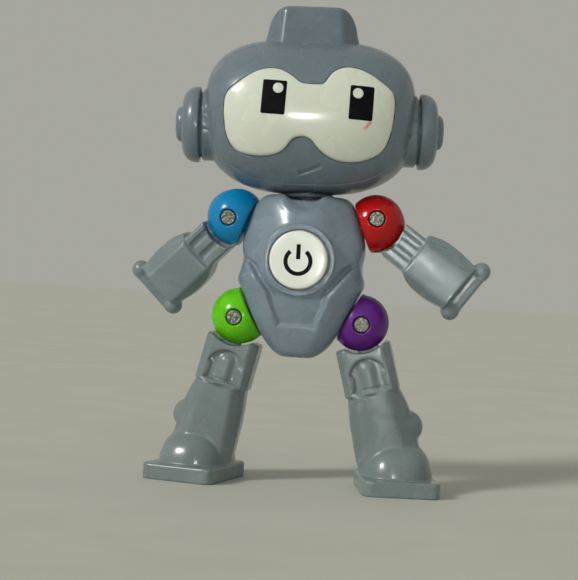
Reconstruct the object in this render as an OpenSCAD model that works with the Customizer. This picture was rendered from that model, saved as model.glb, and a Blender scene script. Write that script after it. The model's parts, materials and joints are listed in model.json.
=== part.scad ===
// Small jointed robot figure that stands on two flat feet.
// Origin: on the floor, midway between the feet. +Z is up, and the robot faces -Y.
// Left and right are the robot's own, so its right side is at -X.

/* [Figure] */
// Height of the shoulder ball centres above the soles
shoulder_z = 54.5; // [54:0.1:55]
// Distance of the shoulder ball centres from the middle
shoulder_x = 14.6; // [14.4:0.1:15]
// Upward tilt of the shoulder swivel axes, in degrees
shoulder_tilt = 21; // [19:0.5:23]
// Height of the hip ball centres above the soles
hip_z = 34; // [33.8:0.1:34.4]
// Distance of the hip ball centres from the middle
hip_x = 12.5; // [12.3:0.1:12.8]
// Downward tilt of the hip swivel axes, in degrees
hip_tilt = 27; // [25:0.5:29]

/* [Pose at rest] */
// Turn of the head about the neck, in degrees
head_turn = 6; // [-10:1:10]
// Lean of the neck toward the robot's right, in degrees
head_lean = 1.3; // [0:0.1:2]
// Angle of the right arm from straight down, in degrees
right_arm_angle = 45; // [40:0.5:56]
// Angle of the left arm from straight down, in degrees
left_arm_angle = 54.5; // [40:0.5:56]
// Backward swivel of the right arm, in degrees
right_arm_swivel = 8; // [-10:1:10]
// Backward swivel of the left arm, in degrees
left_arm_swivel = -6; // [-10:1:10]
// Angle of the right leg from straight down, in degrees
right_leg_angle = 13; // [12:0.5:16]
// Angle of the left leg from straight down, in degrees
left_leg_angle = 15.5; // [12:0.5:16]
// Outward turn of the right toes, in degrees
right_toe_out = 14.5; // [6:0.5:16]
// Outward turn of the left toes, in degrees
left_toe_out = 10; // [6:0.5:16]
// Shift of the whole figure that centres its outline on the origin
centre_shift = -0.6; // [-1:0.05:1]

/* [Joint balls] */
// Radius of the balls
ball_r = 6; // [6:0.05:6.1]
// Distance from the centre of a shoulder ball to its flat side
shoulder_cut = 3; // [2.9:0.1:3.2]
// Distance from the centre of a hip ball to its flat side
hip_cut = 2.6; // [2.6:0.1:2.8]
// Diameter of the steel pins
pin_d = 3; // [2.8:0.05:3]
// Distance of the pins from the ball centres, outward
pin_offset = 0.6; // [0.5:0.05:0.7]
// Diameter of the sunk hole around each pin end
pin_hole_d = 3.5; // [3.3:0.1:3.7]
// Diameter of the swivel pegs
peg_d = 4.5; // [4.2:0.1:4.6]
// Diameter of the flanges that hold the pegs in the torso
flange_d = 6.4; // [6:0.1:6.6]

/* [Torso] */
// Thickness of the moulded shells
wall = 1.6; // [1.4:0.1:1.8]
// Height of the chest button above the soles
button_z = 46; // [45.8:0.1:46.2]
// Diameter of the chest button
button_d = 11.8; // [11.4:0.1:11.9]
// Travel of the chest button
button_travel = 0.6; // [0.3:0.1:0.7]
// Diameter of the button cells
cell_d = 7.9; // [7.6:0.1:7.9]
// Thickness of one button cell
cell_t = 3.6; // [3.4:0.1:3.6]

/* [Head] */
// Height of the head centre above the soles
head_z = 75.6; // [75.6:0.1:76.5]
// Half of the head's width
head_a = 21.8; // [21.6:0.1:22]
// Radius of the head seen from the side
head_r = 15.9; // [15.7:0.1:15.9]
// Distance of the head's parting plane in front of the middle
parting = 7; // [6.8:0.1:7.2]
// Drop of the ear centres below the head centre
ear_drop = 2.1; // [1.8:0.1:2.4]
// Radius of the ear pods
ear_r = 7.8; // [7.4:0.1:8]

/* [Limbs] */
// Distance from the shoulder pin to the hand bar
arm_len = 22.6; // [22:0.1:23]
// Length of the hand bar
hand_len = 14; // [13:0.5:14]
// Width of a foot plate
foot_w = 15.6; // [15:0.1:16]
// Length of a foot plate
foot_len = 19; // [18:0.5:20]
// Thickness of a foot plate
foot_t = 3.2; // [3:0.1:3.4]

/* [Hidden] */
$fn = 48;

shell_grey = "slategray";
seam = 0.02;           // half of the gap between two shells
run_gap = 0.05;        // radial clearance of pins and pegs
face_gap = 0.15;       // clearance between faces that turn past each other
eye_r = 2.5;           // radius of a limb's pin eye
tongue_t = 2.6;        // thickness of the tongue that enters a ball
slot_t = tongue_t + 2 * face_gap;
cup_r = 6.4;           // radius, about the pin, of the hollow that a limb's end is cut to
flange_t = 1;
socket_t = 1.7;        // depth of the socket rim that a swivel peg turns in
peg_len = face_gap + socket_t + 0.1 + flange_t;
boss_r = 1.9;
rear_boss_r = 2.5;
screw_r = 0.9;
screw_head_r = 1.6;
screw_head_h = 1.1;
screw_hole_r = 1.1;    // clearance hole of a screw's shank
counterbore_r = 1.8;
torso_seat = 3.2;      // where the head of a torso screw rests, along Y
head_seat = 3;
head_screw_len = 13.5;
door_seat = 7.8;
torso_screw_at = [[-8.6, 42.9], [8.6, 42.9], [0, 30.1]];
head_screw_at = [[-11, -8], [11, -8], [0, 8.4]];
neck_r = 3;
torso_base = 26.7;     // underside of the torso
collar_z = 59.3;       // top of the torso's collar
collar_r = 6.2;
neck_flange_r = 4.2;
neck_flange_z = collar_z - 4.3;
neck_washer_r = 5.4;    // collar of the neck post, sunk into the torso's collar
neck_washer_z = collar_z - 0.25;
peg_r = 2;             // pegs that hold the ear pods and the crest
ear_seat = 19.6;       // bottom of an ear pod's recess, from the head centre
ear_face = 26.1;
ear_rim = 3;           // rounding of an ear pod's edge
head_crest = 22.1;     // height of the crest's top above the head centre
button_front = -10.6;
button_flange = -6.9;  // front of the flange that keeps the button in
flange_back = -6.1;
leg_in = -0.9;         // the leg's own middle line lies inward of the pin
knee_z = -10.5;
board_y = -1.2;        // front face of the circuit board
board_t = 1;
cell_z = 41;           // height of the cells' common axis
door_w = 14;
door_low = 33;
door_high = 45.4;
door_screw_z = 34.6;
speaker_z = 49.5;
speaker_r = 4.3;

// Half width of the torso at each height
torso_width = [[torso_base, 4.6], [28.3, 6], [30.3, 7.5], [34.3, 10], [38.4, 11.5], [41.6, 12.9], [44.2, 12.3],
    [48.8, 12.7], [53, 12], [56, 11], [58.3, 9.6], [59.1, 7.4], [collar_z, collar_r]];
// Half depth of the torso at each height
torso_depth = [[24, 3.6], [28, 5.9], [31, 7.3], [35, 8.8], [40, 9.7], [46, 9.9], [51, 9.6], [55, 8.6],
    [58.3, 7.1], [61, 5.4]];

// Half of the goggle outline, from the top of the nose notch round to its bottom
visor_half = [[0, 4.85], [2.1, 5.05], [3.4, 6.25], [5, 7.5], [7.6, 8.3], [10.3, 7.8], [13.1, 6.1],
    [15.9, 4.1], [16.8, 1.8], [16.8, -1.6], [16.1, -5.2], [13.8, -8.2], [11, -9.3], [8.2, -9.6], [6, -9.1],
    [4.4, -8.2], [3, -6.8], [1.6, -5.7], [0, -5.5]];

// ---------- general shapes ----------

// A rod along Y between two positions
module rod_y(r, y0, y1) translate([0, y1, 0]) rotate([90, 0, 0]) cylinder(r = r, h = y1 - y0);

// A block given by its lowest and highest corners
module block(low, high) translate(low) cube(high - low);

// Everything with y below a limit, or above it
module before(y) block([-60, -60, -20], [60, y, 120]);
module behind(y) block([-60, y, -20], [60, 60, 120]);

// A smooth curve through points, with steps between each pair
function spline_at(p, i, t) =
    let (a = p[max(i - 1, 0)], b = p[i], c = p[i + 1], d = p[min(i + 2, len(p) - 1)])
    0.5 * (2 * b + (c - a) * t + (2 * a - 5 * b + 4 * c - d) * t * t + (3 * b - a - 3 * c + d) * t * t * t);
function spline(p, steps) = concat([for (i = [0 : len(p) - 2]) for (s = [0 : steps - 1])
    spline_at(p, i, s / steps)], [p[len(p) - 1]]);

// ---------- places ----------

// The frame of a ball joint: X runs outward along the swivel axis, and side is 1 left or -1 right
module at_ball(side, x, z, tilt) translate([side * x + centre_shift, 0, z])
    mirror([side < 0 ? 1 : 0, 0, 0]) rotate([0, -tilt, 0]) children();
module at_shoulder(side) at_ball(side, shoulder_x, shoulder_z, shoulder_tilt) children();
module at_hip(side) at_ball(side, hip_x, hip_z, -hip_tilt) children();

// The frame of a limb: the pin is its origin, and the limb runs along -Z
module on_pin(tilt, swivel, angle)
    rotate([swivel, 0, 0]) translate([pin_offset, 0, 0]) rotate([0, tilt - angle, 0]) children();

module at_torso() translate([centre_shift, 0, 0]) children();
module on_neck() translate([0, 0, collar_z]) rotate([0, -head_lean, 0]) translate([0, 0, -collar_z])
    children();
module at_head() at_torso() on_neck() translate([0, 0, head_z]) rotate([0, 0, head_turn]) children();

// ---------- joint balls ----------

module whole_ball(cut) {
    difference() {
        intersection() {
            sphere(r = ball_r, $fn = 64);
            block([-cut, -10, -10], [10, 10, 10]);
        }
        block([pin_offset - eye_r - face_gap, -slot_t / 2, -10], [10, slot_t / 2, 10]);
        translate([pin_offset, 0, 0]) {
            rod_y(pin_d / 2 + seam, -10, 10);
            rod_y(pin_hole_d / 2, -10, -4.2);
            rod_y(pin_hole_d / 2, 4.2, 10);
        }
    }
    translate([-cut - peg_len, 0, 0]) rotate([0, 90, 0]) {
        cylinder(d = flange_d, h = flange_t);
        cylinder(d = peg_d, h = peg_len + 0.3);
    }
}

module ball_front(cut, swivel) rotate([swivel, 0, 0]) intersection() {
    whole_ball(cut);
    block([-10, -10, -10], [10, -seam, 10]);
}

module ball_rear(cut, swivel) rotate([swivel, 0, 0]) intersection() {
    whole_ball(cut);
    block([-10, seam, -10], [10, 10, 10]);
}

module pivot_pin(swivel) color("silver") rotate([swivel, 0, 0]) translate([pin_offset, 0, 0])
    rod_y(pin_d / 2, -5.5, 5.5);

// ---------- limbs ----------

// The tongue and pin eye that enter a ball, and the hollow that clears it
module limb_on_ball(half_neck) {
    difference() {
        children();
        rod_y(cup_r, -10, 10);
    }
    difference() {
        union() {
            rod_y(eye_r, -tongue_t / 2, tongue_t / 2);
            block([-half_neck, -tongue_t / 2, -cup_r - 1], [half_neck, tongue_t / 2, 0]);
        }
        rod_y(pin_d / 2 + run_gap, -5, 5);
    }
}

// A prism of eight sides along Z, flat at the front, back and sides
module facet_bar(half_w, half_d, flat_w, flat_d, z0, z1) translate([0, 0, z0])
    linear_extrude(z1 - z0) polygon([[-flat_w, -half_d], [flat_w, -half_d], [half_w, -flat_d], [half_w, flat_d],
        [flat_w, half_d], [-flat_w, half_d], [-half_w, flat_d], [-half_w, -flat_d]]);

// A solid as deep as the figure, cut to an outline in X and Z
module front_cut(points) translate([0, 15, 0]) rotate([90, 0, 0]) linear_extrude(30) polygon(points);

module arm() limb_on_ball(2) {
    wrist_z = -arm_len + 1.2;
    difference() {
        translate([-0.6, 0, 0]) facet_bar(4.15, 3.7, 3.3, 2.4, -11, -3.4);
        for (x = [-1.7, 1], y = [-3.9, 3.9])
            block([x - 0.6, y - 0.7, -10.4], [x + 0.6, y + 0.7, 0]);
    }
    intersection() {
        translate([-0.4, 0, 0]) facet_bar(6.1, 4.6, 2.8, 2.2, wrist_z, -10);
        front_cut(concat(spline([[4.2, -10], [5.2, -12.4], [5.5, -16], [4.9, wrist_z]], 4),
            spline([[-5.6, wrist_z], [-6.4, -16], [-5.9, -12], [-4.9, -10]], 4)));
    }
    translate([0, 0, -arm_len]) rotate([0, 90, 0]) {
        cylinder(d = 3, h = hand_len - 4, center = true);
        for (end = [-1, 1])
            translate([0, 0, end * (hand_len / 2 - 1.9)]) sphere(r = 1.9);
    }
}

module leg_shaft() translate([leg_in, 0, 0]) {
    difference() {
        facet_bar(5.6, 5, 3.9, 3.4, -14, -3);
        for (side = [-1, 1])
            translate([0, side * 6.2, 0]) knee_hollow();
    }
    translate([0, 0, knee_z]) for (side = [-1, 1]) translate([0, side * 3, 0]) {
        cylinder(r = 2, h = 3.4, center = true);
        for (end = [-1, 1]) translate([0, 0, end * 1.7]) sphere(r = 2);
    }
    intersection() {
        facet_bar(6.9, 5.6, 3, 3, -31, -13.2);
        front_cut([[-5.1, -13.2], [-5.8, -18], [-6.2, -24], [-6, -31], [6.3, -31], [6.9, -24],
            [6.4, -18], [5.2, -13.2]]);
    }
    translate([5.8, 1, -22.6]) sphere(r = 2.8);
}

// The hollow over a knee: a round-topped pocket
module knee_hollow() {
    translate([0, 0, knee_z - 0.2]) rod_y(4, -2, 2);
    block([-4, -2, -13.2], [4, 2, knee_z - 0.2]);
}

// The foot is level when the leg is splayed
module leg(splay, toe_out) {
    pin_height = hip_z - pin_offset * sin(hip_tilt);
    limb_on_ball(2.2) difference() {
        union() {
            leg_shaft();
            rotate([0, splay, 0]) translate([pin_height * tan(splay) + leg_in, 0, -pin_height])
                rotate([0, 0, toe_out]) shoe();
        }
        rotate([0, splay, 0]) translate([0, 0, -pin_height - 10]) cube([80, 80, 20], center = true);
    }
}

module shoe() {
    translate([0, -1, 0]) linear_extrude(foot_t) rounded_box(foot_w, foot_len, 1.8);
    translate([0, 0.4, 0]) intersection() {
        translate([0, 0, foot_t - 3.2]) sphere(r = 9.6);
        block([-6.7, -8.6, 1], [6.7, 8.6, 12]);
    }
}

module rounded_box(w, l, r) {
    square([w - 2 * r, l], center = true);
    square([w, l - 2 * r], center = true);
    for (x = [-1, 1], y = [-1, 1])
        translate([x * (w / 2 - r), y * (l / 2 - r)]) circle(r = r);
}

// ---------- torso ----------

// The torso's outer form, or the same form drawn in by an inset
module torso_form(inset) intersection() {
    low = torso_base + inset;
    outline = spline([for (p = torso_width) [max(p[1] - inset, 1), p[0]]], 2);
    side = [for (p = torso_depth) [p[1] - inset, p[0]]];
    rotate_extrude($fn = 96) polygon(concat([[0, low]],
        [for (p = outline) [p[0], min(max(p[1], low), collar_z - inset)]], [[0, collar_z - inset]]));
    rotate([90, 0, 90]) linear_extrude(60, center = true)
        polygon(concat(side, [for (i = [len(side) - 1 : -1 : 0]) [-side[i][0], side[i][1]]]));
}

// The space that each ball needs beside the torso, and the rim that its peg turns in
module at_sockets() {
    for (side = [-1, 1]) {
        translate([-centre_shift, 0, 0]) at_shoulder(side) translate([-shoulder_cut, 0, 0]) children();
        translate([-centre_shift, 0, 0]) at_hip(side) translate([-hip_cut, 0, 0]) children();
    }
}

module socket_rims() at_sockets() translate([-face_gap - socket_t, 0, 0]) rotate([0, 90, 0])
    cylinder(r = 4.1, h = socket_t);

module socket_bores() at_sockets() rotate([0, 90, 0]) {
    translate([0, 0, -peg_len - 0.2]) cylinder(d = peg_d + 2 * run_gap, h = 12);
    translate([0, 0, -face_gap]) cylinder(r = cup_r, h = 12);
    translate([0, 0, -peg_len - 0.2]) cylinder(r = flange_d / 2 + 0.2, h = peg_len - face_gap - socket_t + 0.2);
}

// Both torso shells in one piece, before they are parted
module torso_hollow() difference() {
    union() {
        difference() {
            torso_form(0);
            torso_form(wall);
        }
        intersection() {
            torso_form(0.3);
            union() {
                socket_rims();
                translate([0, 0, collar_z - 5.2]) cylinder(r = collar_r, h = 6);
            }
        }
    }
    socket_bores();
    on_neck() {
        translate([0, 0, 50]) cylinder(r = neck_r + run_gap, h = 20);
        translate([0, 0, neck_flange_z - 0.1]) cylinder(r = neck_flange_r + 0.1, h = 1.4);
        translate([0, 0, neck_washer_z - face_gap]) cylinder(r = neck_washer_r + face_gap, h = 2);
    }
}

module torso_front_shell() color(shell_grey) at_torso() difference() {
    union() {
        intersection() {
            torso_hollow();
            before(-seam);
        }
        translate([0, 0, button_z]) rod_y(button_d / 2 + 1.4, -9, -7);
        for (p = torso_screw_at)
            intersection() {
                torso_form(0.3);
                translate([p[0], 0, p[1]]) rod_y(boss_r, -12, -seam);
            }
    }
    translate([0, 0, button_z]) rod_y(button_d / 2 + 0.2, -14, -6);
    for (p = torso_screw_at)
        translate([p[0], 0, p[1]]) rod_y(screw_r + seam, -4.8, 1);
}

module door_outline(gap) translate([-door_w / 2 - gap, 0, door_low - gap])
    cube([door_w + 2 * gap, 20, door_high - door_low + 2 * gap]);

module torso_rear_shell() color(shell_grey) at_torso() difference() {
    union() {
        intersection() {
            torso_hollow();
            behind(seam);
        }
        intersection() {
            torso_form(0.3);
            union() {
                for (p = torso_screw_at)
                    translate([p[0], 0, p[1]]) rod_y(rear_boss_r, seam, 12);
                block([-9.5, 3.7, 36.1], [9.5, 7.9, 36.9]);
            }
        }
        translate([0, 0, door_screw_z]) rod_y(1.7, 2.4, 6.6);
        block([-1.2, 3.7, door_screw_z], [1.2, 6.6, 36.4]);
        translate([0, 0, speaker_z]) difference() {
            rod_y(speaker_r + 0.6, 5.8, 8.4);
            rod_y(speaker_r + 0.1, 4, 9);
        }
    }
    difference() {
        door_outline(0.1);
        torso_form(wall);
    }
    for (p = torso_screw_at)
        translate([p[0], 0, p[1]]) {
            rod_y(screw_hole_r, -1, 12);
            rod_y(counterbore_r, torso_seat, 14);
        }
    translate([0, 0, door_screw_z]) rod_y(screw_r + seam, 2, 10);
    for (a = [0 : 60 : 300])
        translate([2.2 * cos(a), 0, speaker_z + 2.2 * sin(a)]) rod_y(0.6, 6.6, 14);
    translate([0, 0, speaker_z]) rod_y(0.6, 6.6, 14);
}

// A pan-head screw along Y, driven from behind; its head rests at y
module screw(y, len) difference() {
    union() {
        rod_y(screw_r, y - len, y + 0.2);
        rod_y(screw_head_r, y, y + screw_head_h);
    }
    for (turn = [0, 90])
        translate([0, y + screw_head_h, 0]) rotate([0, turn, 0]) cube([1.9, 1.2, 0.4], center = true);
}

module torso_screws() color("silver") at_torso() for (p = torso_screw_at)
    translate([p[0], 0, p[1]]) screw(torso_seat, 7.6);

module battery_door() color(shell_grey) at_torso() difference() {
    intersection() {
        difference() {
            torso_form(0);
            torso_form(wall - 0.1);
        }
        door_outline(0);
    }
    translate([0, 0, door_screw_z]) {
        rod_y(screw_hole_r, 4, 14);
        rod_y(counterbore_r, door_seat, 14);
    }
}

module battery_door_screw() color("silver") at_torso() translate([0, 0, door_screw_z])
    screw(door_seat, 4.8);

module button_cells() color("gainsboro") at_torso() for (i = [-1 : 1])
    translate([i * cell_t, 3.9, cell_z]) rotate([0, 90, 0]) {
        cylinder(d = cell_d, h = cell_t - 0.7, center = true);
        cylinder(d = cell_d - 1.6, h = cell_t - 0.04, center = true);
    }

module battery_contacts() color("goldenrod") at_torso() for (side = [-1, 1])
    translate([side * (1.5 * cell_t + 0.25), 0, 0])
        block([-0.2, board_y + board_t, 39.9], [0.2, 7, 43.4]);

module circuit_board() color("darkgreen") at_torso()
    block([-6.3, board_y, 39.7], [6.3, board_y + board_t, 53.7]);

module tact_switch() color("dimgray") at_torso() difference() {
    block([-3, board_y - 3.4, button_z - 3], [3, board_y, button_z + 3]);
    translate([0, 0, button_z]) rod_y(1.8, board_y - 5, board_y - 1.2);
}

module speaker() color("dimgray") at_torso() translate([0, 0, speaker_z]) {
    rod_y(speaker_r, 4.9, 6.4);
    rod_y(speaker_r - 2, 3.4, 4.95);
}

module chest_button() color("white") at_torso() translate([0, 0, button_z]) {
    translate([0, button_front, 0]) rotate([-90, 0, 0]) {
        cylinder(r1 = button_d / 2 - 0.5, r2 = button_d / 2, h = 0.5);
        translate([0, 0, 0.5]) cylinder(d = button_d, h = 3.4);
    }
    rod_y(button_d / 2 + 1, button_flange, flange_back);
}

module switch_plunger() color("black") at_torso() translate([0, 0, button_z])
    rod_y(1.7, flange_back, board_y - 2.1);

// ---------- head ----------

// The head's outer form, round about the X axis, or the same form drawn in by an inset
module head_form(inset) {
    steps = 26;
    power = 2 / 2.8;
    half = [for (i = [0 : steps]) let (t = -90 + 180 * i / steps)
        [(head_r - inset) * pow(max(cos(t), 0), power), (head_a - inset) * sign(t) * pow(abs(sin(t)), power)]];
    rotate([0, 90, 0]) rotate_extrude($fn = 96) polygon(half);
}

module at_ear(side) translate([0, 0, -ear_drop]) mirror([side < 0 ? 1 : 0, 0, 0]) rotate([0, 90, 0]) children();

// Both head shells in one piece, before they are parted
module head_hollow() difference() {
    union() {
        difference() {
            head_form(0);
            head_form(wall);
        }
        intersection() {
            head_form(0.3);
            union() {
                for (side = [-1, 1]) at_ear(side) translate([0, 0, 17.6]) cylinder(r = 7.4, h = 6);
                translate([0, 0, -head_r]) cylinder(r = 6.2, h = 2.9);
                translate([0, 0, head_r - 4]) cylinder(r = 3.4, h = 6);
            }
        }
    }
    for (side = [-1, 1]) at_ear(side) {
        translate([0, 0, ear_seat]) cylinder(r = ear_r - 1.1, h = 6);
        translate([0, 0, 10]) cylinder(r = peg_r + seam, h = 20);
    }
    translate([0, 0, -head_r - 2]) cylinder(r = neck_r + seam, h = 8);
    translate([0, 0, head_r - 6]) cylinder(r = peg_r + seam, h = 12);
}

module visor_prism(gap) rotate([90, 0, 0]) linear_extrude(30) visor_outline(gap);

// The goggle outline, grown by a gap
module visor_outline(gap) {
    right = [for (p = visor_half)
        [p[0] + (p[0] > 7 ? gap : p[0] > 3 ? -gap : 0), p[1] + (p[1] > 0 ? gap : -gap)]];
    left = [for (i = [len(right) - 2 : -1 : 1]) [-right[i][0], right[i][1]]];
    polygon(spline(concat(right, left, [right[0]]), 2));
}

module head_front_shell() color(shell_grey) at_head() difference() {
    union() {
        intersection() {
            head_hollow();
            translate([0, 0, -head_z]) before(-parting - seam);
        }
        intersection() {
            head_form(0.3);
            for (p = head_screw_at)
                translate([p[0], 0, p[1]]) rod_y(2, -20, -parting - seam);
        }
    }
    for (p = head_screw_at)
        translate([p[0], 0, p[1]]) rod_y(screw_r + seam, head_seat - head_screw_len - 0.5, 1);
    difference() {
        visor_prism(0.05);
        head_form(0.8);
    }
}

module visor_panel() color("white") at_head() intersection() {
    difference() {
        head_form(-0.35);
        head_form(0.78);
    }
    visor_prism(0);
}

module head_rear_shell() color(shell_grey) at_head() difference() {
    union() {
        intersection() {
            head_hollow();
            translate([0, 0, -head_z]) behind(-parting + seam);
        }
        intersection() {
            head_form(0.3);
            for (p = head_screw_at)
                translate([p[0], 0, p[1]]) rod_y(2.8, -parting + seam, 20);
        }
    }
    for (p = head_screw_at)
        translate([p[0], 0, p[1]]) {
            rod_y(screw_hole_r, -10, 10);
            rod_y(2, head_seat, 20);
        }
}

module head_screws() color("silver") at_head() for (p = head_screw_at)
    translate([p[0], 0, p[1]]) screw(head_seat, head_screw_len);

module neck_post() color(shell_grey) at_torso() on_neck() {
    translate([0, 0, collar_z - 4.6]) cylinder(r = neck_r, h = head_z - head_r + 3.5 - collar_z + 4.6);
    translate([0, 0, neck_flange_z]) cylinder(r = neck_flange_r, h = 1.2);
    translate([0, 0, neck_washer_z]) cylinder(r = neck_washer_r, h = head_z - head_r - 0.04 - neck_washer_z);
    translate([0, 0, head_z - head_r + 2.92]) cylinder(r = 4.6, h = 1.2);
}

module crest_block() color(shell_grey) at_head() {
    difference() {
        intersection() {
            translate([0, 15, 0]) rotate([90, 0, 0]) linear_extrude(30)
                polygon(concat([[-9.7, 12]], spline([[-9.6, 15.2], [-9.2, 16.7], [-8.9, 18.3], [-8.2, 20],
                    [-7, 21.6], [-6.6, head_crest]], 2), spline([[6.6, head_crest], [7, 21.6], [8.2, 20],
                    [8.9, 18.3], [9.2, 16.7], [9.6, 15.2]], 2), [[9.7, 12]]));
            linear_extrude(head_crest) polygon([[-6.2, -6.8], [6.2, -6.8], [9.6, -3], [9.6, 3], [6.2, 6.8],
                [-6.2, 6.8], [-9.6, 3], [-9.6, -3]]);
        }
        head_form(-0.02);
    }
    translate([0, 0, head_r - 4]) cylinder(r = peg_r, h = 5);
}

module ear_pod(side) color(shell_grey) at_head() at_ear(side) {
    rotate_extrude($fn = 72) polygon(concat([[0, ear_seat + 0.1], [ear_r - 1.2, ear_seat + 0.1]],
        [[ear_r - 1.2, 22.3], [ear_r, 22.6]],
        [for (a = [0 : 15 : 90]) [ear_r - ear_rim + ear_rim * cos(a), ear_face - ear_rim + ear_rim * sin(a)]],
        [[4.6, ear_face], [4.3, ear_face - 0.3], [3.9, ear_face - 0.3], [3.6, ear_face + 0.2]],
        [for (a = [30 : 20 : 90]) [3.5 * cos(a), ear_face + 0.3 + 1.2 * sin(a)]]));
    translate([0, 0, 17]) cylinder(r = peg_r, h = 4);
}

// ---------- the named pieces ----------

torso_front_shell();
torso_rear_shell();
torso_screws();
battery_door();
battery_door_screw();
button_cells();
battery_contacts();
circuit_board();
tact_switch();
speaker();
chest_button();
switch_plunger();
neck_post();
head_front_shell();
head_rear_shell();
head_screws();
visor_panel();
crest_block();
ear_pod(-1);  // ear_pod_right
ear_pod(1);  // ear_pod_left
color("dodgerblue") at_shoulder(-1)  // shoulder_ball_right_front
    ball_front(shoulder_cut, right_arm_swivel);
color("dodgerblue") at_shoulder(-1)  // shoulder_ball_right_rear
    ball_rear(shoulder_cut, right_arm_swivel);
at_shoulder(-1) pivot_pin(right_arm_swivel);  // shoulder_pin_right
color("red") at_shoulder(1)  // shoulder_ball_left_front
    ball_front(shoulder_cut, left_arm_swivel);
color("red") at_shoulder(1)  // shoulder_ball_left_rear
    ball_rear(shoulder_cut, left_arm_swivel);
at_shoulder(1) pivot_pin(left_arm_swivel);  // shoulder_pin_left
color("limegreen") at_hip(-1) ball_front(hip_cut, 0);  // hip_ball_right_front
color("limegreen") at_hip(-1) ball_rear(hip_cut, 0);  // hip_ball_right_rear
at_hip(-1) pivot_pin(0);  // hip_pin_right
color("indigo") at_hip(1) ball_front(hip_cut, 0);  // hip_ball_left_front
color("indigo") at_hip(1) ball_rear(hip_cut, 0);  // hip_ball_left_rear
at_hip(1) pivot_pin(0);  // hip_pin_left
color(shell_grey) at_shoulder(-1)  // arm_right
    on_pin(shoulder_tilt, right_arm_swivel, right_arm_angle) arm();
color(shell_grey) at_shoulder(1)  // arm_left
    on_pin(shoulder_tilt, left_arm_swivel, left_arm_angle) arm();
color(shell_grey) at_hip(-1)  // leg_right
    on_pin(-hip_tilt, 0, right_leg_angle) leg(right_leg_angle, right_toe_out);
color(shell_grey) at_hip(1)  // leg_left
    on_pin(-hip_tilt, 0, left_leg_angle) leg(left_leg_angle, left_toe_out);
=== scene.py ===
import functools
import json
import math

import bpy
import numpy as np
from mathutils import Matrix, Vector


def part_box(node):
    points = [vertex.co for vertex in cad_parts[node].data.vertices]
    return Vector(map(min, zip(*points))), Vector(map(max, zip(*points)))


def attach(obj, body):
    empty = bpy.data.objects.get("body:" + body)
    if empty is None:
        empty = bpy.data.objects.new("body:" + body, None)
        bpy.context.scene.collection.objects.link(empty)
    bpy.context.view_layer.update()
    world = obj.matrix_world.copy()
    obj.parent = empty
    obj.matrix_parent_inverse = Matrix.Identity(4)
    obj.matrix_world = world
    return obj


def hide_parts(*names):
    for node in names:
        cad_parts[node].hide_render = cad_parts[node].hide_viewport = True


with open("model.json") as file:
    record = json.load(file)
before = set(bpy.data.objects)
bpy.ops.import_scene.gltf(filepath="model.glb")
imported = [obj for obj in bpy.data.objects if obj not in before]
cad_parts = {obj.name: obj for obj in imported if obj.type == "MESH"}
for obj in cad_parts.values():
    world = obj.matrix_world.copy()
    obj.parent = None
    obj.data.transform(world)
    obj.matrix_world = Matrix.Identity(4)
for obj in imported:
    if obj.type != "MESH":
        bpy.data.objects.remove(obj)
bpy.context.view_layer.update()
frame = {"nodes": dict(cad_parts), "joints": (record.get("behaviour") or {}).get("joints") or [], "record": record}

MM = 0.001
JOINTS = {j["name"]: j for j in frame["joints"]}
STEP = 0.22      # size of the mesh cells, in millimetres
PULLS = 3                               # times that each vertex is pulled onto its surface
THROUGH = 40                            # a length that is sure to leave any shell
SEAM = 0.03                             # half of the gap between two shells
PRINT_LIFT, PRINT_SUNK = 0.035, 0.06    # print stands this far out of a surface, and its back is this far in
PRINT_EDGE = 0.02                       # the print's edge is this much thinner

# ---------- places, in millimetres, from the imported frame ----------


def joint_at(name):
    return np.array(JOINTS[name]["pos_m"]) / MM


def joint_axis(name):
    return np.array(JOINTS[name]["axis"], float)


def node_box(name):
    low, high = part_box(name)
    return np.array(low) / MM, np.array(high) / MM


def node_centre(name):
    low, high = node_box(name)
    return (low + high) / 2


def placed(origin, x_axis, y_axis, z_axis):
    """The matrix, in metres, of a local frame in millimetres."""
    m = Matrix.Identity(4)
    for column, axis in enumerate((x_axis, y_axis, z_axis)):
        for row in range(3):
            m[row][column] = float(axis[row]) * MM
    for row in range(3):
        m[row][3] = float(origin[row]) * MM
    return m


MIDDLE = (joint_at("shoulder_swivel_right") + joint_at("shoulder_swivel_left")) / 2
MID_X = MIDDLE[0]
CREST_TOP = 22.1                        # crest's top above the head centre
EAR_DROP = 2.1                          # ear centres below the head centre
EARS = [node_centre("ear_pod_right"), node_centre("ear_pod_left")]
HEAD_UP = joint_axis("neck_turn")
HEAD_X = (EARS[1] - EARS[0]) - HEAD_UP * ((EARS[1] - EARS[0]) @ HEAD_UP)
HEAD_X /= np.linalg.norm(HEAD_X)
HEAD_Y = np.cross(HEAD_UP, HEAD_X)
NECK = joint_at("neck_turn")
HEAD_CENTRE = NECK + HEAD_UP * (((EARS[0] + EARS[1]) / 2 - NECK) @ HEAD_UP + EAR_DROP)
HEAD_FRAME = placed(HEAD_CENTRE, HEAD_X, HEAD_Y, HEAD_UP)
TORSO_FRAME = placed((MID_X, 0, 0), (1, 0, 0), (0, 1, 0), (0, 0, 1))
BUTTON_Z = node_centre("chest_button")[2]
BUTTON_FRONT = node_box("chest_button")[0][1]

# ---------- meshes from fields ----------
# A field gives, at points x, y and z in millimetres, about how far they are outside a solid.


def blend_min(a, b, r):
    h = np.clip(0.5 + 0.5 * (b - a) / r, 0, 1)
    return b + (a - b) * h - r * h * (1 - h)


def blend_max(a, b, r):
    return -blend_min(-a, -b, r)


def step_up(t):
    t = np.clip(t, 0, 1)
    return t * t * (3 - 2 * t)


def hill(x, z, at_x, at_z, wide, high):
    """A smooth hump of height 1 at a place, as a function of x and z."""
    return np.exp(-(((x - at_x) / wide) ** 2 + ((z - at_z) / high) ** 2))


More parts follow.
